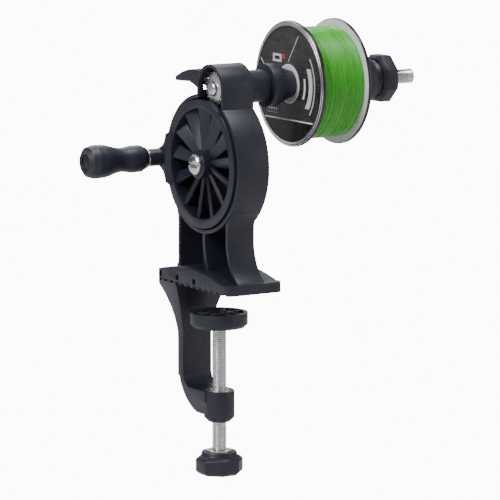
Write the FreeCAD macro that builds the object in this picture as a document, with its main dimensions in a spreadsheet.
"""Fishing line winder for a table edge.

X runs along the wheel and spindle axes, with the crank at -X and the spool at +X. The mouth of the
clamp opens towards -Y, and Z is up. The origin is on the clamp screw's axis, at the table's top.
Sizes are in millimetres and degrees.
"""
import FreeCAD, Part
import math
import os

import Sketcher
from FreeCAD import Placement, Rotation, Vector

# Driving sizes, each with its own name in the sheet

SIZES = [
    # Gears
    ("tooth_module", 1.0),
    ("gear_teeth", 84),
    ("pinion_teeth", 21),
    ("tooth_backlash", 0.13),
    ("gear_face", 8.0),
    ("pinion_face", 7.0),
    # Places of the axes
    ("wheel_height", 83.4),
    ("spindle_side", 10.4),
    ("crank_radius", 48.0),
    # Fits
    ("running_fit", 0.05),
    ("seat_fit", 0.02),
    ("face_gap", 0.3),
    ("nut_fit", 0.2),
    # Round housing, head and sleeve of the stand
    ("body_front", 13.5),
    ("body_back", 10.5),
    ("recess_gap", 1.0),
    ("housing_wall", 2.6),
    ("back_wall", 3.0),
    ("axle_boss_radius", 9.0),
    ("axle_boss_front", 3.5),
    ("axle_nut_radius", 7.5),
    ("axle_nut_height", 3.6),
    ("head_radius", 16.5),
    ("head_wall", 2.2),
    ("head_web_front", 1.0),
    ("sleeve_radius", 11.0),
    ("sleeve_end", 28.8),
    ("bearing_lip", 2.0),
    # Column
    ("column_front", 12.8),
    ("column_back", 7.8),
    ("column_half", 32.0),
    ("column_wall", 2.6),
    ("column_rib", 3.0),
    ("column_flare_top", 36.0),
    ("column_heel", 5.0),
    ("column_heel_top", 20.0),
    ("column_blend", 20.0),
    ("rib_lean", 8.0),
    ("channel_top_drop", 20.0),
    # Jaw plate and clamp arm
    ("plate_half_width", 21.9),
    ("plate_half_length", 46.7),
    ("plate_end_height", 7.0),
    ("plate_crest", 12.4),
    ("plate_crest_side", 11.7),
    ("plate_flat", 9.3),
    ("plate_corner", 5.0),
    ("arm_half_width", 11.3),
    ("throat", 28.8),
    ("arm_depth", 6.8),
    ("arm_drop", 72.2),
    ("arm_height", 16.2),
    ("arm_flare", 4.2),
    ("arm_step_depth", 1.0),
    ("arm_step_drop", 7.4),
    ("arm_step_rise", 2.8),
    ("spine_flare", 3.0),
    ("spine_flare_drop", 20.0),
    ("spine_flare_end", 48.0),
    ("throat_flare_drop", 16.0),
    ("throat_flare_end", 36.0),
    ("inner_corner", 9.0),
    ("outer_corner_rise", 5.6),
    ("outer_corner_inset", 7.6),
    ("outer_corner_drop", 7.0),
    ("outer_corner_end", 12.0),
    ("boss_radius", 10.5),
    ("boss_length", 21.1),
    ("boss_chamfer", 3.0),
    ("jaw_tooth_pitch", 7.5),
    ("jaw_tooth_depth", 1.4),
    ("jaw_teeth", 12),
    ("jaw_gap_width", 4.5),
    ("jaw_gap_length", 2.2),
    ("edge_slot_pitch", 22.0),
    ("edge_slot_width", 3.6),
    ("edge_slot_depth", 2.5),
    ("edge_slot_height", 3.6),
    ("edge_slot_foot", 2.8),
    ("edge_slot_side", 18.8),
    # Drive wheel
    ("rim_radius", 43.4),
    ("rim_inner_radius", 37.5),
    ("rim_front", 15.0),
    ("rim_depth", 4.0),
    ("vane_count", 13),
    ("vane_root_chord", 4.5),
    ("vane_tip_chord", 10.0),
    ("vane_thickness", 2.0),
    ("vane_front", 13.2),
    ("vane_pitch", 59.0),
    ("vane_overlap", 1.2),
    ("hub_radius", 9.6),
    ("hub_front", 17.3),
    ("hub_back", 2.2),
    ("bush_wall", 1.5),
    ("axle_radius", 4.0),
    ("axle_head_radius", 6.9),
    ("axle_head_height", 3.0),
    ("axle_head_chamfer", 1.2),
    ("axle_slot", 1.6),
    ("lobe_front", 18.2),
    ("lobe_back", 14.1),
    ("lobe_radius", 7.5),
    ("lobe_spread", 27.0),
    ("lobe_turn", 14.5),
    ("lobe_top_spread", 22.0),
    ("lobe_inset", 1.0),
    ("lobe_draft", 1.3),
    ("crank_boss_radius", 6.0),
    ("crank_boss_length", 10.0),
    # Handle
    ("grip_length", 46.5),
    ("grip_foot_radius", 5.4),
    ("grip_swell_radius", 9.3),
    ("grip_waist_radius", 8.2),
    ("grip_bulge_radius", 11.5),
    ("grip_end_radius", 7.2),
    ("handle_bolt_radius", 3.0),
    ("handle_head_radius", 5.0),
    ("handle_head_height", 3.0),
    ("handle_head_sink", 0.8),
    ("handle_head_gap", 0.4),
    ("handle_nut_radius", 5.7),
    ("handle_nut_height", 3.2),
    ("handle_washer_lip", 0.5),
    ("handle_washer_depth", 1.2),
    # Spindle, cones and spool
    ("shaft_radius", 5.0),
    ("shaft_step", 0.9),
    ("shaft_end", 148.8),
    ("bearing_radius", 9.5),
    ("bearing_length", 5.0),
    ("pinion_disc_radius", 9.2),
    ("pinion_disc_depth", 0.5),
    ("pinion_hub_wall", 2.0),
    ("pinion_screw_radius", 2.5),
    ("pinion_head_radius", 5.0),
    ("pinion_head_height", 3.0),
    ("pinion_screw_depth", 12.0),
    ("screw_end_gap", 1.0),
    ("end_chamfer", 1.0),
    ("cone_flange_radius", 14.7),
    ("cone_flange_depth", 7.4),
    ("cone_base_radius", 13.5),
    ("cone_nose_radius", 8.0),
    ("cone_length", 17.0),
    ("far_flange_radius", 16.2),
    ("far_flange_depth", 11.0),
    ("grub_radius", 2.0),
    ("grub_sink", 1.0),
    ("grub_gap", 0.1),
    ("spool_bore_radius", 9.3),
    ("spool_radius", 42.8),
    ("spool_drum_radius", 20.0),
    ("spool_width", 38.2),
    ("spool_flange", 2.0),
    ("label_radius", 39.2),
    ("label_hole_radius", 11.8),
    ("label_depth", 0.6),
    ("line_radius", 37.6),
    ("line_turns", 8),
    ("line_strand_sides", 6),
    ("line_seat", 0.3),
    ("line_gap", 0.6),
    # Hand nut and clamp knob
    ("knob_radius", 16.4),
    ("knob_bevel", 2.4),
    ("knob_collar_draft", 0.8),
    ("knob_collar_radius", 12.6),
    ("knob_collar_height", 3.0),
    ("knob_depth", 12.7),
    ("nut_radius", 17.2),
    ("nut_collar_height", 4.6),
    ("nut_depth", 12.4),
    ("insert_radius", 7.5),
    ("knob_nut_radius", 9.0),
    ("knob_nut_height", 5.0),
    ("knob_recess", 4.0),
    ("knob_screw_inset", 2.0),
    # Clamp screw and pad
    ("clamp_open", 18.2),
    ("pad_radius", 19.6),
    ("pad_height", 10.1),
    ("pad_web", 3.6),
    ("pad_rim", 3.0),
    ("pad_hub_radius", 8.0),
    ("pad_hub_wall", 1.8),
    ("pad_chamfer", 2.2),
    ("pad_rib_width", 1.8),
    ("pad_rib_drop", 0.5),
    ("pad_ribs", 8),
    ("pad_neck_radius", 3.0),
    ("pad_washer_radius", 5.6),
    ("pad_washer_depth", 0.8),
    ("pad_screw_radius", 2.0),
    ("pad_screw_reach", 3.5),
    ("pad_screw_head_radius", 4.0),
    ("pad_screw_head_height", 2.4),
    ("knob_clearance", 20.7),
    # Brake lever
    ("lever_pin_side", 10.8),
    ("lever_pin_height", 6.5),
    ("lever_pin_radius", 1.5),
    ("lever_width", 4.6),
    ("lever_middle", 7.0),
    ("lever_knuckle_radius", 4.4),
    ("lever_reach", 24.4),
    ("lever_tip_top", 1.8),
    ("lever_tip_low", 5.3),
    ("lever_shoe_width", 3.0),
    ("lever_slot_above", 3.5),
    ("lever_slot_below", 8.5),
    ("lever_shoe_gap", 0.7),
    ("lever_ear", 2.2),
    ("lever_ear_drop", 9.7),
]

doc = FreeCAD.newDocument("line_winder")
sheet = doc.addObject("Spreadsheet::Sheet", "sizes")
for row, (alias, value) in enumerate(SIZES, start=1):
    sheet.set(f"A{row}", alias)
    sheet.set(f"B{row}", str(value))
    sheet.setAlias(f"B{row}", alias)
doc.recompute()


class Sizes:
    """Reads a driving size from the sheet by its alias."""

    def __getattr__(self, alias):
        return float(sheet.get(alias))


s = Sizes()

# Sizes that follow from the driving ones

# Tooth tips, roots and the ring under them, measured from the pitch circle in modules
ADDENDUM = 0.95
DEDENDUM = 1.25
GEAR_RING = 1.6

GEAR_RADIUS = s.tooth_module * s.gear_teeth / 2
PINION_RADIUS = s.tooth_module * s.pinion_teeth / 2
CENTRE_DISTANCE = GEAR_RADIUS + PINION_RADIUS
SPINDLE_RISE = math.sqrt(CENTRE_DISTANCE**2 - s.spindle_side**2)
SPINDLE_HEIGHT = s.wheel_height + SPINDLE_RISE
MESH_ANGLE = math.atan2(SPINDLE_RISE, -s.spindle_side)
RISE_FORMULA = (
    "sqrt((sizes.tooth_module * (sizes.gear_teeth + sizes.pinion_teeth) / 2) ^ 2"
    " - sizes.spindle_side ^ 2)"
)

# The recess clears the rim and the gear behind it, whichever is larger, and the housing goes round it
RECESS_RADIUS = max(s.rim_radius, GEAR_RADIUS + ADDENDUM * s.tooth_module) + s.recess_gap
HOUSING_RADIUS = RECESS_RADIUS + s.housing_wall

GEAR_FRONT = -(s.rim_front - s.rim_depth)
GEAR_BACK = GEAR_FRONT + s.gear_face
PINION_BACK = GEAR_BACK + s.face_gap
PINION_FRONT = PINION_BACK - s.pinion_face

PINION_DISC_FRONT = PINION_FRONT - s.pinion_disc_depth
SHAFT_FRONT = PINION_DISC_FRONT + s.shaft_step

# The spool rests where the cone is as thick as its bore, less the seat's fit
CONE_TAPER = (s.cone_base_radius - s.cone_nose_radius) / s.cone_length
CONE_SEAT = (s.cone_base_radius - s.spool_bore_radius + s.seat_fit) / CONE_TAPER
NEAR_CONE_FOOT = s.sleeve_end + s.face_gap
SPOOL_NEAR = NEAR_CONE_FOOT + s.cone_flange_depth + CONE_SEAT
SPOOL_FAR = SPOOL_NEAR + s.spool_width
FAR_CONE_FOOT = SPOOL_FAR + CONE_SEAT + s.far_flange_depth + s.face_gap
NUT_FOOT = FAR_CONE_FOOT + s.face_gap

GRUB_PLACE = NEAR_CONE_FOOT + s.cone_flange_depth / 2
AXLE_HEAD_BACK = -(s.hub_front + s.face_gap)

PAD_TOP = -s.clamp_open
PAD_BOTTOM = PAD_TOP - s.pad_height
BOSS_TOP = -s.arm_drop
BOSS_BOTTOM = BOSS_TOP - s.boss_length
KNOB_TOP = BOSS_BOTTOM - s.knob_clearance
KNOB_BOTTOM = KNOB_TOP - s.knob_collar_height - s.knob_depth

LEVER_PIN_SIDE = -s.spindle_side + s.head_radius + s.lever_pin_side
LEVER_PIN_HEIGHT = SPINDLE_HEIGHT + s.lever_pin_height

CRANK_BOSS_END = -(s.lobe_front + s.crank_boss_length)
GRIP_FOOT = CRANK_BOSS_END - s.handle_washer_depth - s.face_gap
GRIP_END = GRIP_FOOT - s.grip_length

# How far fused forms run into each other, and cuts run past a face
OVERLAP = 1.0

# Where a flare is halfway down, as shares of its width and of its height
FLARE_WIDTH = 0.16
FLARE_HEIGHT = 0.6

# Ends of the grip's swell, waist and bulge, as shares of its length
GRIP_STATIONS = (0.09, 0.20, 0.34, 0.50, 0.74, 0.90)


# Helpers for bodies, sketches and features


def new_body(label):
    body = doc.addObject("PartDesign::Body", label)
    body.Label = label
    return body


def place(piece, along="0", side="0", height="0"):
    """Puts a piece at a point given by three formulas on the sheet."""
    piece.setExpression("Placement.Base.x", along)
    piece.setExpression("Placement.Base.y", side)
    piece.setExpression("Placement.Base.z", height)


def place_on_wheel(piece):
    place(piece, height="sizes.wheel_height")


def place_on_spindle(piece):
    place(piece, side="-sizes.spindle_side", height=f"sizes.wheel_height + {RISE_FORMULA}")


def new_sketch(body, name, plane, offset=None):
    """A sketch on one of the body's origin planes, moved along its normal by a formula."""
    sketch = body.newObject("Sketcher::SketchObject", name)
    origin_plane = next(f for f in body.Origin.OriginFeatures if f.Role == plane)
    sketch.AttachmentSupport = [(origin_plane, "")]
    sketch.MapMode = "FlatFace"
    if offset is not None:
        sketch.setExpression("AttachmentOffset.Base.z", offset)
    return sketch


def add_outline(sketch, points):
    """Closes an outline. A point of four numbers ends an arc that passes through its first two."""
    start = Vector(points[0][0], points[0][1], 0)
    first = start
    for point in points[1:]:
        end = Vector(point[-2], point[-1], 0)
        if len(point) == 4:
            middle = Vector(point[0], point[1], 0)
            sketch.addGeometry(Part.Arc(start, middle, end))
        else:
            sketch.addGeometry(Part.LineSegment(start, end))
        start = end
    if (start - first).Length > 1e-6:
        sketch.addGeometry(Part.LineSegment(start, first))


def add_circle(sketch, radius, across=0.0, up=0.0):
    """A circle whose radius is a formula on the sheet."""
    index = sketch.addGeometry(Part.Circle(Vector(across, up, 0), Vector(0, 0, 1), 1.0))
    constraint = sketch.addConstraint(Sketcher.Constraint("Radius", index, 1.0))
    sketch.setExpression(f"Constraints[{constraint}]", radius)


def add_polygon(sketch, sides, radius, across=0.0, up=0.0):
    corners = []
    for i in range(sides):
        angle = 2 * math.pi * (i + 0.5) / sides
        corners.append((across + radius * math.cos(angle), up + radius * math.sin(angle)))
    add_outline(sketch, corners)


def pad(body, sketch, length, both_ways=False):
    feature = body.newObject("PartDesign::Pad", sketch.Name + "_pad")
    feature.Profile = sketch
    feature.Midplane = both_ways
    feature.setExpression("Length", length)
    doc.recompute()
    return feature


def pocket(body, sketch, length, both_ways=False, reverse=False):
    """Cuts a sketch into the body and makes sure that something was cut."""
    before = body.Shape.Volume
    feature = body.newObject("PartDesign::Pocket", sketch.Name + "_cut")
    feature.Profile = sketch
    feature.Midplane = both_ways
    feature.Reversed = reverse
    feature.setExpression("Length", length)
    doc.recompute()
    if body.Shape.Volume >= before - 1e-6:
        raise RuntimeError(f"{feature.Name} cuts nothing")
    return feature


def turned(body, name, axis, profile, cut=False):
    """Revolves a profile of (along, radius) points about the body's X or Z axis."""
    sketch = new_sketch(body, name, "XZ_Plane")
    if axis == "Z":
        profile = [tuple(v for pair in zip(p[1::2], p[0::2]) for v in pair) for p in profile]
    add_outline(sketch, profile)
    before = body.Shape.Volume if cut else 0.0
    kind = "PartDesign::Groove" if cut else "PartDesign::Revolution"
    feature = body.newObject(kind, name + "_turn")
    feature.Profile = sketch
    feature.ReferenceAxis = (sketch, ["H_Axis" if axis == "X" else "V_Axis"])
    doc.recompute()
    if cut and body.Shape.Volume >= before - 1e-6:
        raise RuntimeError(f"{feature.Name} cuts nothing")
    return feature


def repeat_round(body, features, plane_axis, count):
    """Repeats features about one of the body's axes."""
    pattern = body.newObject("PartDesign::PolarPattern", features[0].Name + "_round")
    pattern.Originals = features
    axis = next(f for f in body.Origin.OriginFeatures if f.Role == plane_axis)
    pattern.Axis = (axis, [""])
    pattern.Angle = 360
    pattern.Occurrences = int(count)
    body.Tip = pattern
    doc.recompute()
    return pattern


def repeat_along(body, features, plane_axis, length, count):
    """Repeats features along one of the body's axes."""
    pattern = body.newObject("PartDesign::LinearPattern", features[0].Name + "_row")
    pattern.Originals = features
    axis = next(f for f in body.Origin.OriginFeatures if f.Role == plane_axis)
    pattern.Direction = (axis, [""])
    pattern.Length = length
    pattern.Occurrences = int(count)
    body.Tip = pattern
    doc.recompute()
    return pattern


def bore(body, name, start, length, radius, across, up):
    """Drills along +X from a start plane. Start, length and radius are formulas on the sheet."""
    sketch = new_sketch(body, name, "YZ_Plane", start)
    add_circle(sketch, radius, across, up)
    pocket(body, sketch, length, reverse=True)


def ring_profile(start, end, inner, outer):
    return [(start, inner), (end, inner), (end, outer), (start, outer)]


def turned_piece(label, axis, profile):
    body = new_body(label)
    turned(body, label + "_profile", axis, profile)
    return body


def tooth_corners(teeth, radius, phase):
    """Corners of a spur gear with straight flanks at twenty degrees."""
    flank = math.tan(math.radians(20))
    half = math.pi * s.tooth_module / 4 - s.tooth_backlash / 2
    tip = radius + ADDENDUM * s.tooth_module
    root = radius - DEDENDUM * s.tooth_module
    half_tip = (half - ADDENDUM * s.tooth_module * flank) / radius
    half_root = (half + DEDENDUM * s.tooth_module * flank) / radius
    corners = []
    for i in range(int(teeth)):
        middle = phase + 2 * math.pi * i / teeth
        for r, a in ((root, -half_root), (tip, -half_tip), (tip, half_tip), (root, half_root)):
            corners.append((r * math.cos(middle + a), r * math.sin(middle + a)))
    return corners


# Stand


def column_outline():
    """The column seen along X: a heel on the +Y side, a wide flare on the -Y side, and a blend
    on both sides into the round housing."""
    foot = s.plate_end_height - OVERLAP
    heel = s.column_half + s.column_heel
    heel_middle = s.column_half + FLARE_WIDTH * s.column_heel
    blend_foot, blend_middle, blend_end = housing_blend()
    return [
        (heel, foot),
        (heel_middle, FLARE_HEIGHT * s.column_heel_top, s.column_half, s.column_heel_top),
        blend_foot,
        (*blend_middle, *blend_end),
        (0, s.wheel_height),
        (-blend_end[0], blend_end[1]),
        (-blend_middle[0], blend_middle[1], -blend_foot[0], blend_foot[1]),
        (-s.column_half, s.column_flare_top),
        (*flare_middle(-s.column_half, -s.plate_half_length), -s.plate_half_length, foot),
    ]


def housing_blend():
    """Three points of the arc that touches both the column's side and the round housing."""
    side = s.column_half + s.column_blend
    reach = HOUSING_RADIUS + s.column_blend
    drop = math.sqrt(reach**2 - side**2)
    height = s.wheel_height - drop
    half_turn = math.atan2(drop, side) / 2
    middle = (
        side - s.column_blend * math.cos(half_turn),
        height + s.column_blend * math.sin(half_turn),
    )
    share = HOUSING_RADIUS / reach
    end = (side * share, s.wheel_height - drop * share)
    return (s.column_half, height), middle, end


def flare_middle(top_side, foot_side):
    """The point halfway down a curve that leaves a straight side and runs out to a foot."""
    return (top_side + FLARE_WIDTH * (foot_side - top_side), FLARE_HEIGHT * s.column_flare_top)


def cut_channels(body):
    """Two channels, open towards the crank, leave a rib between them that leans to one side."""
    foot = s.plate_end_height - OVERLAP
    channel_top = s.wheel_height - s.channel_top_drop
    rib_far = (0, s.column_flare_top)
    rib_near = -s.column_rib
    near_top = s.column_wall - s.column_half
    near_foot = s.column_wall - s.plate_half_length
    depth = "sizes.column_front + sizes.column_back - sizes.back_wall"
    far_side = new_sketch(body, "far_channel", "YZ_Plane", "-sizes.column_front")
    add_outline(far_side, [
        (s.column_half - s.column_wall, foot),
        (s.column_half - s.column_wall, channel_top),
        (0, channel_top),
        rib_far,
        (*flare_middle(0, -s.rib_lean), -s.rib_lean, foot),
    ])
    pocket(body, far_side, depth, reverse=True)
    near_side = new_sketch(body, "near_channel", "YZ_Plane", "-sizes.column_front")
    add_outline(near_side, [
        (rib_near - s.rib_lean, foot),
        (*flare_middle(rib_near, rib_near - s.rib_lean), rib_near, s.column_flare_top),
        (rib_near, channel_top),
        (near_top, channel_top),
        (near_top, s.column_flare_top),
        (*flare_middle(near_top, near_foot), near_foot, foot),
    ])
    pocket(body, near_side, depth, reverse=True)


def add_clamp_arm(body):
    """Jaw plate, spine and lower arm in one C-shaped outline, narrowed below the plate."""
    outer = s.throat + s.arm_depth
    floor = -s.arm_drop
    corner_bulge = s.inner_corner * (1 - math.sqrt(0.5))
    clamp = new_sketch(body, "clamp_outline", "YZ_Plane")
    add_outline(clamp, [
        (-s.plate_half_length, 0),
        (-s.plate_half_length, s.plate_end_height),
        (s.plate_flat - s.plate_half_length, s.plate_end_height),
        (s.plate_crest_side, s.plate_crest, s.plate_half_length, s.plate_end_height),
        (s.plate_half_length, 0),
        (outer + s.spine_flare, -s.spine_flare_drop, outer, -s.spine_flare_end),
        (outer, floor + s.outer_corner_rise),
        (outer - s.outer_corner_inset, floor - s.outer_corner_drop,
         s.outer_corner_end, floor - s.arm_height),
        (0, floor - s.arm_height),
        (0, floor),
        (s.throat - s.inner_corner, floor),
        (s.throat - corner_bulge, floor + corner_bulge, s.throat, floor + s.inner_corner),
        (s.throat, -s.throat_flare_end),
        (s.throat - s.spine_flare, -s.throat_flare_drop, s.pad_radius + s.recess_gap, 0),
    ])
    pad(body, clamp, "2 * sizes.plate_half_width", both_ways=True)
    past_side = s.plate_half_width + OVERLAP
    past_foot = floor - s.arm_height - OVERLAP
    sides = new_sketch(body, "arm_sides", "XZ_Plane")
    for hand in (-1, 1):
        add_outline(sides, [
            (hand * past_side, 0),
            (hand * s.plate_half_width, 0),
            (hand * (s.arm_half_width + s.arm_flare), -s.throat_flare_drop,
             hand * s.arm_half_width, -s.throat_flare_end),
            (hand * s.arm_half_width, past_foot),
            (hand * past_side, past_foot),
        ])
    pocket(body, sides, "4 * sizes.plate_half_length", both_ways=True)

    # The outer half of the lower arm is a step narrower than its inner half
    step_foot = floor - s.arm_step_drop
    past_outer = outer + s.spine_flare
    for name, start in (
        ("near_step", -s.arm_half_width - OVERLAP),
        ("far_step", s.arm_half_width - s.arm_step_depth),
    ):
        step = new_sketch(body, name, "YZ_Plane", str(start))
        add_outline(step, [
            (0, step_foot),
            (s.throat - s.inner_corner, step_foot + s.arm_step_rise),
            (past_outer, floor + s.inner_corner),
            (past_outer, past_foot),
            (0, past_foot),
        ])
        pocket(body, step, str(s.arm_step_depth + OVERLAP), reverse=True)
    turned(body, "boss", "Z", [
        (BOSS_TOP, 0),
        (BOSS_TOP, s.boss_radius),
        (BOSS_BOTTOM + s.boss_chamfer, s.boss_radius),
        (BOSS_BOTTOM, s.boss_radius - s.boss_chamfer),
        (BOSS_BOTTOM, 0),
    ])


def arch_outline(radius):
    """The gear head seen along X: an arch that stands in the round housing."""
    middle = -s.spindle_side
    foot = s.wheel_height + HOUSING_RADIUS / 2
    return [
        (middle - radius, foot),
        (middle - radius, SPINDLE_HEIGHT),
        (middle, SPINDLE_HEIGHT + radius, middle + radius, SPINDLE_HEIGHT),
        (middle + radius, foot),
    ]


def add_housing_and_head(body):
    housing = new_sketch(body, "housing", "YZ_Plane", "-sizes.body_front")
    add_circle(housing, str(HOUSING_RADIUS), 0, s.wheel_height)
    pad(body, housing, "sizes.body_front + sizes.body_back")
    head = new_sketch(body, "head", "YZ_Plane", "-sizes.body_front")
    add_outline(head, arch_outline(s.head_radius))
    pad(body, head, "sizes.body_front + sizes.body_back")
    sleeve = new_sketch(body, "sleeve", "YZ_Plane")
    add_circle(sleeve, "sizes.sleeve_radius", -s.spindle_side, SPINDLE_HEIGHT)
    pad(body, sleeve, "sizes.sleeve_end")

    # Ears of the brake lever on the head's +Y side
    gap_half = s.lever_width / 2 + s.face_gap
    for name, start in (
        ("front_ear", -s.lever_middle - gap_half - s.lever_ear),
        ("back_ear", -s.lever_middle + gap_half),
    ):
        ear = new_sketch(body, name, "YZ_Plane", str(start))
        add_outline(ear, ear_outline())
        pad(body, ear, "sizes.lever_ear")

    # Recess of the wheel, opened upwards into the head's cavity
    recess = new_sketch(body, "recess", "YZ_Plane", "-sizes.body_front")
    add_circle(recess, str(RECESS_RADIUS), 0, s.wheel_height)
    pocket(body, recess, "sizes.body_front + sizes.body_back - sizes.back_wall", reverse=True)
    cavity = new_sketch(body, "cavity", "YZ_Plane", "-sizes.body_front")
    add_outline(cavity, arch_outline(s.head_radius - s.head_wall))
    pocket(body, cavity, "sizes.body_front - sizes.head_web_front", reverse=True)


def add_axle_boss(body):
    """Boss of the wheel's axle, with the pocket of its nut in the back."""
    axle_boss = new_sketch(body, "axle_boss", "YZ_Plane", "sizes.axle_boss_front")
    add_circle(axle_boss, "sizes.axle_boss_radius", 0, s.wheel_height)
    pad(body, axle_boss, "sizes.body_back - sizes.axle_boss_front")
    bore(body, "axle_hole", "sizes.axle_boss_front", "sizes.body_back - sizes.axle_boss_front",
         "sizes.axle_radius + sizes.seat_fit", 0, s.wheel_height)
    nut_pocket = new_sketch(body, "nut_pocket", "YZ_Plane", "sizes.body_back")
    add_polygon(nut_pocket, 6, s.axle_nut_radius + s.nut_fit, 0, s.wheel_height)
    pocket(body, nut_pocket, "sizes.axle_nut_height + sizes.face_gap")


def cut_spindle_bore(body):
    """Bore of the spindle, with a bearing seat at each end."""
    middle = -s.spindle_side
    seat = "sizes.bearing_radius + sizes.seat_fit"
    bore(body, "front_seat", "-sizes.head_web_front", "sizes.bearing_length", seat,
         middle, SPINDLE_HEIGHT)
    bore(body, "rear_seat", "sizes.sleeve_end - sizes.bearing_length", "sizes.bearing_length", seat,
         middle, SPINDLE_HEIGHT)
    bore(body, "spindle_bore", "-sizes.head_web_front", "sizes.head_web_front + sizes.sleeve_end",
         "sizes.bearing_radius - sizes.bearing_lip", middle, SPINDLE_HEIGHT)


def cut_lever_slot(body):
    """Slot in the head for the lever's shoe, and the hole of its pin."""
    inside = s.head_radius - 3 * s.head_wall - s.spindle_side
    outside = s.head_radius + OVERLAP - s.spindle_side
    slot = new_sketch(body, "lever_slot", "YZ_Plane", "-sizes.lever_middle")
    add_outline(slot, [
        (inside, LEVER_PIN_HEIGHT - s.lever_slot_below),
        (outside, LEVER_PIN_HEIGHT - s.lever_slot_below),
        (outside, LEVER_PIN_HEIGHT + s.lever_slot_above),
        (inside, LEVER_PIN_HEIGHT + s.lever_slot_above),
    ])
    pocket(body, slot, "sizes.lever_width + 2 * sizes.face_gap", both_ways=True)
    bore(body, "pin_hole", "-2 * sizes.lever_middle", "2 * sizes.lever_middle",
         "sizes.lever_pin_radius + sizes.seat_fit", LEVER_PIN_SIDE, LEVER_PIN_HEIGHT)


def cut_plate_edges(body):
    """Rounded corners, three small slots in the plate's crank edge, and teeth on both lower edges."""
    edge = s.plate_half_width
    end = s.plate_half_length
    round_start = s.plate_corner * (1 - math.sqrt(0.5))
    corners = new_sketch(body, "plate_corners", "XY_Plane")
    for hand in (-1, 1):
        for way in (-1, 1):
            add_outline(corners, [
                (hand * (edge + OVERLAP), way * (end + OVERLAP)),
                (hand * (edge - s.plate_corner), way * (end + OVERLAP)),
                (hand * (edge - s.plate_corner), way * end),
                (hand * (edge - round_start), way * (end - round_start),
                 hand * edge, way * (end - s.plate_corner)),
                (hand * (edge + OVERLAP), way * (end - s.plate_corner)),
            ])
    pocket(body, corners, "4 * sizes.plate_crest", both_ways=True)
    first_slot = "sizes.edge_slot_pitch - sizes.edge_slot_side"
    slots = new_sketch(body, "edge_slots", "XZ_Plane", first_slot)
    add_outline(slots, [
        (-edge - OVERLAP, s.edge_slot_foot),
        (s.edge_slot_depth - edge, s.edge_slot_foot),
        (s.edge_slot_depth - edge, s.edge_slot_foot + s.edge_slot_height),
        (-edge - OVERLAP, s.edge_slot_foot + s.edge_slot_height),
    ])
    slot_cut = pocket(body, slots, "sizes.edge_slot_width", both_ways=True)
    repeat_along(body, [slot_cut], "Y_Axis", 2 * s.edge_slot_pitch, 3)
    first_gap = "(sizes.jaw_teeth - 1) / 2 * sizes.jaw_tooth_pitch"
    gaps = new_sketch(body, "jaw_gaps", "XZ_Plane", first_gap)
    for hand in (-1, 1):
        add_outline(gaps, [
            (hand * (edge + OVERLAP), 0),
            (hand * (edge + OVERLAP), s.jaw_tooth_depth),
            (hand * (edge - s.jaw_gap_length), s.jaw_tooth_depth),
            (hand * (edge - s.jaw_gap_length), 0),
        ])
    gap = pocket(body, gaps, "sizes.jaw_gap_width", both_ways=True)
    repeat_along(body, [gap], "Y_Axis", (s.jaw_teeth - 1) * s.jaw_tooth_pitch, s.jaw_teeth)


def build_stand_frame():
    body = new_body("stand_frame")
    column = new_sketch(body, "column", "YZ_Plane", "-sizes.column_front")
    add_outline(column, column_outline())
    pad(body, column, "sizes.column_front + sizes.column_back")
    cut_channels(body)
    add_clamp_arm(body)
    add_housing_and_head(body)
    add_axle_boss(body)
    cut_spindle_bore(body)
    cut_lever_slot(body)
    insert_hole = new_sketch(body, "insert_hole", "XY_Plane", "-sizes.arm_drop")
    add_circle(insert_hole, "sizes.insert_radius + sizes.seat_fit")
    pocket(body, insert_hole, "sizes.boss_length")
    cut_plate_edges(body)


def ear_outline():
    r = s.lever_knuckle_radius
    top = s.lever_pin_height + r
    root = math.sqrt(s.head_radius**2 - top**2) - OVERLAP - s.spindle_side
    return [
        (root, LEVER_PIN_HEIGHT + r),
        (LEVER_PIN_SIDE, LEVER_PIN_HEIGHT + r),
        (LEVER_PIN_SIDE + r, LEVER_PIN_HEIGHT, LEVER_PIN_SIDE, LEVER_PIN_HEIGHT - r),
        (root, LEVER_PIN_HEIGHT - s.lever_ear_drop),
    ]


# Wheel and its axle


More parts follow.
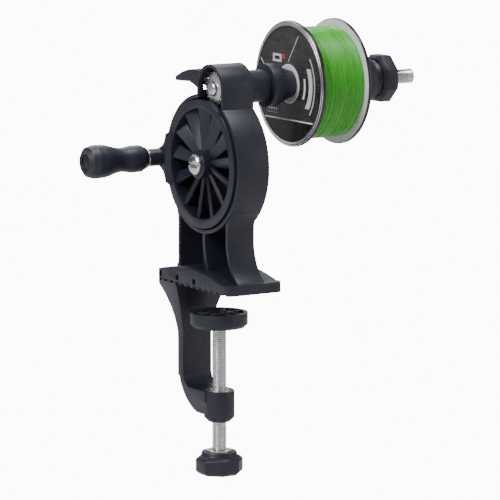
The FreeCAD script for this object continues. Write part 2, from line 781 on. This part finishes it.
def build_drive_wheel():
    body = new_body("drive_wheel")
    place_on_wheel(body)
    ring_radius = GEAR_RADIUS - GEAR_RING * s.tooth_module
    turned(body, "rim", "X", [
        (-s.rim_front, s.rim_inner_radius),
        (-s.rim_front, s.rim_radius),
        (GEAR_FRONT, s.rim_radius),
        (GEAR_FRONT, ring_radius),
        (GEAR_BACK, ring_radius),
        (GEAR_BACK, s.rim_inner_radius),
    ])
    teeth = new_sketch(body, "gear_teeth", "YZ_Plane", str(GEAR_FRONT))
    add_outline(teeth, tooth_corners(s.gear_teeth, GEAR_RADIUS, MESH_ANGLE))
    add_circle(teeth, "sizes.rim_inner_radius")
    pad(body, teeth, "sizes.gear_face")

    # One pitched vane, a flat blade that widens from the hub to the rim, and its copies
    slope = math.radians(s.vane_pitch)
    middle = s.vane_tip_chord / 2 * math.cos(slope) - s.vane_front
    root = s.hub_radius - s.vane_overlap
    tip = s.rim_inner_radius + s.vane_overlap
    blade = new_sketch(body, "vane", "XZ_Plane")
    blade.AttachmentOffset = Placement(Vector(middle, 0, 0), Rotation(Vector(0, 1, 0), -s.vane_pitch))
    add_outline(blade, [
        (-s.vane_root_chord / 2, root),
        (s.vane_root_chord / 2, root),
        (s.vane_tip_chord / 2, tip),
        (-s.vane_tip_chord / 2, tip),
    ])
    vane = pad(body, blade, "sizes.vane_thickness", both_ways=True)
    repeat_round(body, [vane], "X_Axis", s.vane_count)
    bush_seat = s.axle_radius + s.running_fit + s.bush_wall + s.seat_fit
    turned(body, "hub", "X", ring_profile(-s.hub_front, s.hub_back, bush_seat, s.hub_radius))

    # Crank lobe, flush with the rim, that rises to the boss of the handle
    foot = lobe_outline(s.rim_radius, s.lobe_spread, s.lobe_radius)
    lobe = new_sketch(body, "crank_lobe", "YZ_Plane", "-sizes.rim_front")
    add_outline(lobe, foot)
    pad(body, lobe, "sizes.rim_front - sizes.lobe_back")
    rise_foot = new_sketch(body, "lobe_rise_foot", "YZ_Plane", "-sizes.rim_front")
    add_outline(rise_foot, foot)
    rise_top = new_sketch(body, "lobe_rise_top", "YZ_Plane", "-sizes.lobe_front")
    add_outline(rise_top, lobe_outline(
        s.rim_radius + s.lobe_inset, s.lobe_top_spread, s.lobe_radius - s.lobe_draft))
    rise = body.newObject("PartDesign::AdditiveLoft", "lobe_rise")
    rise.Profile = rise_foot
    rise.Sections = [rise_top]
    rise.Ruled = True
    doc.recompute()
    boss = new_sketch(body, "crank_boss", "YZ_Plane", str(CRANK_BOSS_END))
    add_circle(boss, "sizes.crank_boss_radius", s.crank_radius, 0)
    pad(body, boss, "sizes.crank_boss_length + sizes.lobe_front - sizes.lobe_back")
    bore(body, "handle_hole", str(CRANK_BOSS_END), "sizes.crank_boss_length + sizes.lobe_front",
         "sizes.handle_bolt_radius + sizes.seat_fit", s.crank_radius, 0)
    nut_pocket = new_sketch(body, "handle_nut_pocket", "YZ_Plane", "-sizes.lobe_back")
    add_polygon(nut_pocket, 6, s.handle_nut_radius + s.nut_fit, s.crank_radius, 0)
    pocket(body, nut_pocket, "sizes.handle_nut_height + sizes.nut_fit")


def lobe_outline(rim, spread, tip_radius):
    """A lobe that leaves the rim at an angle on both sides and goes round the crank's boss."""
    inner = rim - s.lobe_inset
    side = inner * math.cos(math.radians(spread))
    height = inner * math.sin(math.radians(spread))
    turn = math.radians(spread * s.lobe_turn / s.lobe_spread)
    waist_side = rim * math.cos(turn)
    waist_height = rim * math.sin(turn)
    return [
        (side, height),
        (waist_side, waist_height, s.crank_radius, tip_radius),
        (s.crank_radius + tip_radius, 0, s.crank_radius, -tip_radius),
        (waist_side, -waist_height, side, -height),
    ]


def hex_nut(label, radius, height, hole, start, axis="X"):
    """A hexagon nut that starts at a plane and grows along its axis."""
    body = new_body(label)
    plane = "YZ_Plane" if axis == "X" else "XY_Plane"
    sketch = new_sketch(body, label + "_hexagon", plane, start)
    add_polygon(sketch, 6, radius)
    add_circle(sketch, hole)
    pad(body, sketch, height)
    return body


def build_wheel_fittings():
    axle = turned_piece("wheel_axle", "X", [
        (AXLE_HEAD_BACK, 0),
        (AXLE_HEAD_BACK - s.axle_head_height, 0),
        (AXLE_HEAD_BACK - s.axle_head_height, s.axle_head_radius - s.axle_head_chamfer),
        (AXLE_HEAD_BACK - s.axle_head_height + s.axle_head_chamfer, s.axle_head_radius),
        (AXLE_HEAD_BACK, s.axle_head_radius),
        (AXLE_HEAD_BACK, s.axle_radius),
        (s.body_back - s.face_gap, s.axle_radius),
        (s.body_back - s.face_gap, 0),
        (AXLE_HEAD_BACK, 0),
    ])
    slot = new_sketch(axle, "axle_slot", "YZ_Plane", str(AXLE_HEAD_BACK - s.axle_head_height))
    reach = s.axle_head_radius + OVERLAP
    half = s.axle_slot / 2
    add_outline(slot, [(-reach, -half), (reach, -half), (reach, half), (-reach, half)])
    pocket(axle, slot, "sizes.axle_slot", reverse=True)
    place_on_wheel(axle)

    bush_bore = s.axle_radius + s.running_fit
    bush = turned_piece("wheel_bush", "X", ring_profile(
        -s.hub_front, s.hub_back, bush_bore, bush_bore + s.bush_wall))
    place_on_wheel(bush)

    washer = turned_piece("axle_washer", "X", ring_profile(
        s.hub_back + s.face_gap, s.axle_boss_front, s.axle_radius + s.seat_fit, s.axle_head_radius))
    place_on_wheel(washer)

    nut = hex_nut("axle_nut", s.axle_nut_radius, "sizes.axle_nut_height",
                  "sizes.axle_radius + sizes.seat_fit",
                  "sizes.body_back - sizes.axle_nut_height - sizes.face_gap")
    place_on_wheel(nut)


def build_handle():
    hole = s.handle_bolt_radius + s.seat_fit
    bolt_head = GRIP_END + s.handle_head_sink
    bolt_neck = bolt_head + s.handle_head_height
    nut_end = -s.lobe_back - s.nut_fit
    socket = s.handle_head_radius + s.handle_head_gap

    # The grip's foot, swell, waist, bulge and end, with straight tapers between them
    stations = [GRIP_FOOT - share * s.grip_length for share in GRIP_STATIONS]
    grip = turned_piece("handle_grip", "X", [
        (GRIP_FOOT, s.handle_bolt_radius + s.running_fit),
        (GRIP_FOOT, s.grip_foot_radius),
        (stations[0], s.grip_swell_radius),
        (stations[1], s.grip_swell_radius),
        (stations[2], s.grip_waist_radius),
        (stations[3], s.grip_waist_radius),
        (stations[4], s.grip_bulge_radius),
        (stations[5], s.grip_bulge_radius),
        (GRIP_END, s.grip_end_radius),
        (GRIP_END, socket),
        (bolt_neck + s.face_gap, socket),
        (bolt_neck + s.face_gap, s.handle_bolt_radius + s.running_fit),
    ])
    bolt = turned_piece("handle_bolt", "X", [
        (bolt_head, 0),
        (bolt_head, s.handle_head_radius),
        (bolt_neck, s.handle_head_radius),
        (bolt_neck, s.handle_bolt_radius),
        (nut_end, s.handle_bolt_radius),
        (nut_end, 0),
    ])
    washer = turned_piece("handle_washer", "X", ring_profile(
        CRANK_BOSS_END - s.handle_washer_depth, CRANK_BOSS_END, hole,
        s.crank_boss_radius + s.handle_washer_lip))
    nut = hex_nut("handle_nut", s.handle_nut_radius, "sizes.handle_nut_height",
                  "sizes.handle_bolt_radius + sizes.seat_fit",
                  "-sizes.lobe_back - sizes.handle_nut_height - sizes.nut_fit")
    for piece in (grip, bolt, washer, nut):
        place(piece, side="sizes.crank_radius", height="sizes.wheel_height")


# Spindle, spool and cones


def build_spindle():
    shaft_hole = s.shaft_radius + s.seat_fit
    screw_hole = s.pinion_screw_radius + s.seat_fit
    screw_seat_end = SHAFT_FRONT + s.pinion_screw_depth
    shaft = turned_piece("spindle_shaft", "X", [
        (SHAFT_FRONT, screw_hole),
        (SHAFT_FRONT, s.shaft_radius),
        (s.shaft_end - s.end_chamfer, s.shaft_radius),
        (s.shaft_end, s.shaft_radius - s.end_chamfer),
        (s.shaft_end, 0),
        (screw_seat_end, 0),
        (screw_seat_end, screw_hole),
    ])
    head_front = PINION_DISC_FRONT - s.pinion_head_height
    screw = turned_piece("pinion_screw", "X", [
        (head_front, 0),
        (head_front, s.pinion_head_radius - s.end_chamfer),
        (head_front + s.end_chamfer, s.pinion_head_radius),
        (PINION_DISC_FRONT, s.pinion_head_radius),
        (PINION_DISC_FRONT, s.pinion_screw_radius),
        (screw_seat_end - s.screw_end_gap, s.pinion_screw_radius),
        (screw_seat_end - s.screw_end_gap, 0),
    ])
    pinion = new_body("pinion_gear")
    teeth = new_sketch(pinion, "pinion_teeth", "YZ_Plane", str(PINION_FRONT))
    half_tooth = math.pi / s.pinion_teeth
    add_outline(teeth, tooth_corners(s.pinion_teeth, PINION_RADIUS, MESH_ANGLE + math.pi + half_tooth))
    pad(pinion, teeth, "sizes.pinion_face")
    turned(pinion, "pinion_disc", "X", [
        (PINION_DISC_FRONT, 0),
        (PINION_DISC_FRONT, s.pinion_disc_radius),
        (PINION_FRONT + OVERLAP, s.pinion_disc_radius),
        (PINION_FRONT + OVERLAP, 0),
    ])
    hub_end = -s.head_web_front - s.face_gap
    turned(pinion, "pinion_hub", "X", [
        (PINION_BACK - OVERLAP, 0),
        (PINION_BACK - OVERLAP, s.shaft_radius + s.pinion_hub_wall),
        (hub_end, s.shaft_radius + s.pinion_hub_wall),
        (hub_end, 0),
    ])
    turned(pinion, "pinion_bore", "X", [
        (PINION_DISC_FRONT - OVERLAP, 0),
        (PINION_DISC_FRONT - OVERLAP, screw_hole),
        (SHAFT_FRONT - s.seat_fit, screw_hole),
        (SHAFT_FRONT - s.seat_fit, shaft_hole),
        (hub_end + OVERLAP, shaft_hole),
        (hub_end + OVERLAP, 0),
    ], cut=True)
    bearings = []
    bearing_bore = s.shaft_radius + s.running_fit
    for label, start in (
        ("front_bearing", -s.head_web_front),
        ("rear_bearing", s.sleeve_end - s.bearing_length),
    ):
        bearings.append(turned_piece(label, "X", ring_profile(
            start, start + s.bearing_length, bearing_bore, s.bearing_radius)))
    for piece in (shaft, screw, pinion, *bearings):
        place_on_spindle(piece)


def cone_profile(foot, hand, flange_radius, flange_depth, hole):
    """A flange and a cone that narrows towards the spool, hand being +1 or -1 along X."""
    shoulder = foot + hand * flange_depth
    return [
        (foot, hole),
        (foot, flange_radius),
        (shoulder, flange_radius),
        (shoulder, s.cone_base_radius),
        (shoulder + hand * s.cone_length, s.cone_nose_radius),
        (shoulder + hand * s.cone_length, hole),
    ]


def build_cones():
    near = turned_piece("cone_near", "X", cone_profile(
        NEAR_CONE_FOOT, 1, s.cone_flange_radius, s.cone_flange_depth, s.shaft_radius + s.seat_fit))
    grub_hole = new_sketch(near, "grub_hole", "XZ_Plane")
    add_circle(grub_hole, "sizes.grub_radius + sizes.seat_fit", GRUB_PLACE, 0)
    pocket(near, grub_hole, "2 * sizes.cone_flange_radius")
    far = turned_piece("cone_far", "X", cone_profile(
        FAR_CONE_FOOT, -1, s.far_flange_radius, s.far_flange_depth, s.shaft_radius + s.running_fit))
    grub = new_body("cone_grub_screw")
    profile = new_sketch(grub, "grub_profile", "XZ_Plane", str(s.grub_sink - s.cone_flange_radius))
    add_circle(profile, "sizes.grub_radius", GRUB_PLACE, 0)
    pad(grub, profile,
        "sizes.cone_flange_radius - sizes.grub_sink - sizes.shaft_radius - sizes.grub_gap")
    for piece in (near, far, grub):
        place_on_spindle(piece)


def build_spool():
    near_wall = SPOOL_NEAR + s.spool_flange
    far_wall = SPOOL_FAR - s.spool_flange
    spool = turned_piece("spool_body", "X", [
        (SPOOL_NEAR, s.spool_bore_radius),
        (SPOOL_NEAR, s.spool_radius),
        (near_wall, s.spool_radius),
        (near_wall, s.spool_drum_radius),
        (far_wall, s.spool_drum_radius),
        (far_wall, s.spool_radius),
        (SPOOL_FAR, s.spool_radius),
        (SPOOL_FAR, s.spool_bore_radius),
    ])
    label = turned_piece("spool_label", "X", ring_profile(
        SPOOL_NEAR - s.label_depth, SPOOL_NEAR, s.label_hole_radius, s.label_radius))
    strand_pitch = (far_wall - near_wall - 2 * s.face_gap + s.line_gap) / (int(s.line_turns) + 1)
    strand_width = strand_pitch - s.line_gap
    core_radius = s.line_radius - strand_width - s.line_seat
    core = turned_piece("line_core", "X", ring_profile(
        near_wall, far_wall, s.spool_drum_radius + s.seat_fit, core_radius))
    winding = doc.addObject("Part::Feature", "line_winding")
    winding.Shape = wound_line(near_wall + s.face_gap, core_radius + s.line_seat, strand_pitch, strand_width)
    for piece in (spool, label, core, winding):
        place_on_spindle(piece)


def arc_from(start, tangent, end):
    """The arc that leaves a point along a tangent and ends at another point."""
    chord = end - start
    along = Vector(chord).normalize()
    bulge = tangent - along * tangent.dot(along)
    half_turn = tangent.getAngle(along)
    rise = chord.Length / 2 * math.tan(half_turn / 2)
    middle = (start + end) * 0.5 + bulge.normalize() * rise
    return Part.Arc(start, middle, end).toShape()


def biarc(start, start_tangent, end, end_tangent):
    """Two arcs with one tangent where they meet."""
    span = end - start
    tangents = start_tangent + end_tangent
    k = 2 * (1 - start_tangent.dot(end_tangent))
    reach = (-span.dot(tangents) + math.sqrt(span.dot(tangents) ** 2 + k * span.dot(span))) / k
    joint = (start + end + (start_tangent - end_tangent) * reach) * 0.5
    shared = (joint - start - start_tangent * reach).normalize()
    return [arc_from(start, start_tangent, joint), arc_from(joint, shared, end)]


def least_gap(turns_of_spine, width):
    """The least gap between neighbouring turns, measured on points of the spine, four arcs a turn."""
    gaps = []
    for low, high in zip(turns_of_spine, turns_of_spine[4:]):
        for low_point, high_point in zip(low.discretize(9), high.discretize(9)):
            gaps.append((high_point - low_point).Length - width)
    return min(gaps)


def wound_line(near_side, inner_radius, pitch, width):
    """The outer layer of line: one unbroken strand round the core, with straight ends."""
    turns = int(s.line_turns)
    radius = inner_radius + width / 2
    start = near_side + width / 2
    rise = pitch / (2 * math.pi)

    def point(angle):
        return Vector(start + rise * angle, radius * math.cos(angle), radius * math.sin(angle))

    def tangent(angle):
        return Vector(rise, -radius * math.sin(angle), radius * math.cos(angle)).normalize()

    foot = point(0) - tangent(0) * width
    end = 2 * math.pi * turns
    arcs = []
    for i in range(2 * turns):
        a = math.pi * i
        b = math.pi * (i + 1)
        arcs += biarc(point(a), tangent(a), point(b), tangent(b))
    lead_in = Part.LineSegment(foot, point(0)).toShape()
    lead_out = Part.LineSegment(point(end), point(end) + tangent(end) * width).toShape()
    spine = Part.Wire([lead_in, *arcs, lead_out])

    out = Vector(0, 1, 0)
    across = tangent(0).cross(out).normalize()
    sides = int(s.line_strand_sides)
    turned_by = [2 * math.pi * i / sides for i in range(sides)]
    corners = [foot + (out * math.cos(a) + across * math.sin(a)) * (width / 2) for a in turned_by]
    section = Part.makePolygon(corners + corners[:1])
    shell = Part.BRepOffsetAPI.MakePipeShell(spine)
    shell.add(section)
    shell.build()
    shell.makeSolid()
    print("line turns", turns, "least gap between turns", round(least_gap(arcs, width), 3),
          "volume over section times length",
          round(shell.shape().Volume / (Part.Face(section).Area * spine.Length), 4))
    return shell.shape()


# Hand nut and clamp


def bevel_ends(body, name, axis, size):
    """Chamfers the edges round both ends of the prism that was padded last."""
    prism = body.Tip
    along = Vector(1, 0, 0) if axis == "X" else Vector(0, 0, 1)
    edges = []
    for number, edge in enumerate(prism.Shape.Edges, start=1):
        if abs(edge.tangentAt(edge.FirstParameter).dot(along)) < 0.5:
            edges.append(f"Edge{number}")
    chamfer = body.newObject("PartDesign::Chamfer", name)
    chamfer.Base = (prism, edges)
    chamfer.setExpression("Size", size)
    doc.recompute()


def knob(label, axis, radius, sides_start, sides_length, collar_length, hole):
    """An eight-sided knob with bevelled edges and a round collar, below it if its length is negative."""
    body = new_body(label)
    plane = "YZ_Plane" if axis == "X" else "XY_Plane"
    sides = new_sketch(body, label + "_sides", plane, str(sides_start))
    add_polygon(sides, 8, radius)
    pad(body, sides, str(sides_length))
    bevel_ends(body, label + "_bevel", axis, "sizes.knob_bevel")
    sides_end = sides_start + sides_length
    collar_foot = sides_end if collar_length > 0 else sides_start
    collar_end = collar_foot + collar_length
    turned(body, label + "_collar", axis, [
        (collar_foot, 0),
        (collar_foot, s.knob_collar_radius),
        (collar_end, s.knob_collar_radius - s.knob_collar_draft),
        (collar_end, 0),
    ])
    low = min(sides_start, collar_end) - OVERLAP
    high = max(sides_end, collar_end) + OVERLAP
    turned(body, label + "_hole", axis, [(low, 0), (low, hole), (high, hole), (high, 0)], cut=True)
    return body


def build_hand_nut():
    hole = s.insert_radius + s.seat_fit
    nut = knob("hand_nut", "X", s.nut_radius, NUT_FOOT + s.nut_collar_height, s.nut_depth,
               -s.nut_collar_height, hole)
    insert = turned_piece("hand_nut_insert", "X", ring_profile(
        NUT_FOOT, NUT_FOOT + s.nut_collar_height + s.nut_depth,
        s.shaft_radius + s.running_fit, s.insert_radius))
    place_on_spindle(nut)
    place_on_spindle(insert)


def build_clamp():
    turned_piece("clamp_insert", "Z", ring_profile(
        BOSS_BOTTOM, BOSS_TOP + s.face_gap, s.shaft_radius + s.running_fit, s.insert_radius))
    web_top = PAD_BOTTOM + s.pad_web
    neck_hole = s.pad_neck_radius + s.running_fit
    clamp_pad = new_body("clamp_pad")
    turned(clamp_pad, "pad_cup", "Z", [
        (PAD_BOTTOM, neck_hole),
        (PAD_BOTTOM, s.pad_radius - s.pad_chamfer),
        (PAD_BOTTOM + s.pad_chamfer, s.pad_radius),
        (PAD_TOP, s.pad_radius),
        (PAD_TOP, s.pad_radius - s.pad_rim),
        (web_top, s.pad_radius - s.pad_rim),
        (web_top, neck_hole),
    ])
    turned(clamp_pad, "pad_hub", "Z", ring_profile(
        web_top - OVERLAP, PAD_TOP, s.pad_hub_radius - s.pad_hub_wall, s.pad_hub_radius))
    ribs = new_sketch(clamp_pad, "pad_ribs", "XY_Plane", str(web_top - OVERLAP))
    half = s.pad_rib_width / 2
    rib_foot = s.pad_hub_radius - s.pad_hub_wall / 2
    rib_end = s.pad_radius - s.pad_rim / 2
    add_outline(ribs, [(rib_foot, -half), (rib_end, -half), (rib_end, half), (rib_foot, half)])
    rib = pad(clamp_pad, ribs, str(PAD_TOP - s.pad_rib_drop - web_top + OVERLAP))
    repeat_round(clamp_pad, [rib], "Z_Axis", s.pad_ribs)

    neck_top = web_top + s.face_gap
    washer_top = neck_top + s.pad_washer_depth
    screw_hole = s.pad_screw_radius + s.seat_fit
    thread_foot = PAD_BOTTOM - s.pad_screw_reach
    turned_piece("clamp_screw", "Z", [
        (KNOB_BOTTOM + s.knob_screw_inset, 0),
        (KNOB_BOTTOM + s.knob_screw_inset, s.shaft_radius),
        (PAD_BOTTOM - s.face_gap, s.shaft_radius),
        (PAD_BOTTOM - s.face_gap, s.pad_neck_radius),
        (neck_top, s.pad_neck_radius),
        (neck_top, screw_hole),
        (thread_foot - s.screw_end_gap, screw_hole),
        (thread_foot - s.screw_end_gap, 0),
    ])
    turned_piece("pad_washer", "Z", ring_profile(neck_top, washer_top, screw_hole, s.pad_washer_radius))
    head_top = washer_top + s.pad_screw_head_height
    turned_piece("pad_screw", "Z", [
        (thread_foot, 0),
        (thread_foot, s.pad_screw_radius),
        (washer_top, s.pad_screw_radius),
        (washer_top, s.pad_screw_head_radius),
        (head_top, s.pad_screw_head_radius),
        (head_top, 0),
    ])
    clamp_knob = knob("clamp_knob", "Z", s.knob_radius, KNOB_BOTTOM, s.knob_depth,
                      s.knob_collar_height, s.shaft_radius + s.seat_fit)
    recess_floor = KNOB_TOP - s.knob_recess
    recess_radius = s.knob_nut_radius + s.nut_fit
    turned(clamp_knob, "knob_recess", "Z", [
        (recess_floor, 0),
        (recess_floor, recess_radius),
        (KNOB_TOP + OVERLAP, recess_radius),
        (KNOB_TOP + OVERLAP, 0),
    ], cut=True)
    hex_nut("knob_nut", s.knob_nut_radius, "sizes.knob_nut_height",
            "sizes.shaft_radius + sizes.seat_fit", str(recess_floor), axis="Z")


def build_brake_lever():
    pin_reach = s.lever_width / 2 + s.face_gap + s.lever_ear
    pin = turned_piece("lever_pin", "X", [
        (-s.lever_middle - pin_reach, 0),
        (-s.lever_middle - pin_reach, s.lever_pin_radius),
        (-s.lever_middle + pin_reach, s.lever_pin_radius),
        (-s.lever_middle + pin_reach, 0),
    ])
    lever = new_body("brake_lever")
    outline = new_sketch(lever, "lever_outline", "YZ_Plane", "-sizes.lever_middle")
    r = s.lever_knuckle_radius
    pin_distance = math.hypot(LEVER_PIN_SIDE + s.spindle_side, s.lever_pin_height)
    tip_radius = PINION_RADIUS + ADDENDUM * s.tooth_module
    shoe_length = pin_distance - tip_radius - s.lever_shoe_gap
    aim = math.atan2(s.lever_pin_height, LEVER_PIN_SIDE + s.spindle_side)
    half = s.lever_shoe_width / 2
    shoe_root = r - OVERLAP / 2

    def on_shoe(along, across):
        """A point on the shoe, which points at the pinion's centre."""
        return (
            -along * math.cos(aim) + across * math.sin(aim),
            -along * math.sin(aim) - across * math.cos(aim),
        )

    tip_middle = -(s.lever_tip_top + s.lever_tip_low) / 2
    tip_half = (s.lever_tip_low - s.lever_tip_top) / 2
    add_outline(outline, [
        (0, r),
        (s.lever_reach / 2, r / 2, s.lever_reach - tip_half, -s.lever_tip_top),
        (s.lever_reach, tip_middle, s.lever_reach - tip_half, -s.lever_tip_low),
        (0, -r),
        on_shoe(shoe_root, half),
        on_shoe(shoe_length, half),
        on_shoe(shoe_length, -half),
        on_shoe(shoe_root, -half),
    ])
    add_circle(outline, "sizes.lever_pin_radius + sizes.running_fit")
    pad(lever, outline, "sizes.lever_width", both_ways=True)
    for piece in (pin, lever):
        place(piece, side="-sizes.spindle_side + sizes.head_radius + sizes.lever_pin_side",
              height=f"sizes.wheel_height + {RISE_FORMULA} + sizes.lever_pin_height")


build_stand_frame()
build_drive_wheel()
build_wheel_fittings()
build_handle()
build_spindle()
build_cones()
build_spool()
build_hand_nut()
build_clamp()
build_brake_lever()
doc.recompute()

# Every object is checked before any file is written

failed = [o.Name for o in doc.Objects if {"Invalid", "Error"} & set(o.State)]
if failed:
    raise RuntimeError(f"these objects failed: {failed}")
pieces = [o for o in doc.Objects if o.TypeId in ("PartDesign::Body", "Part::Feature")]
for piece in pieces:
    if piece.Shape.isNull() or not piece.Shape.isValid() or not piece.Shape.Solids:
        raise RuntimeError(f"{piece.Label} has no valid solid")
os.makedirs("parts", exist_ok=True)
for piece in pieces:
    piece.Shape.exportStep(f"parts/{piece.Label}.step")
print("pieces", len(pieces))
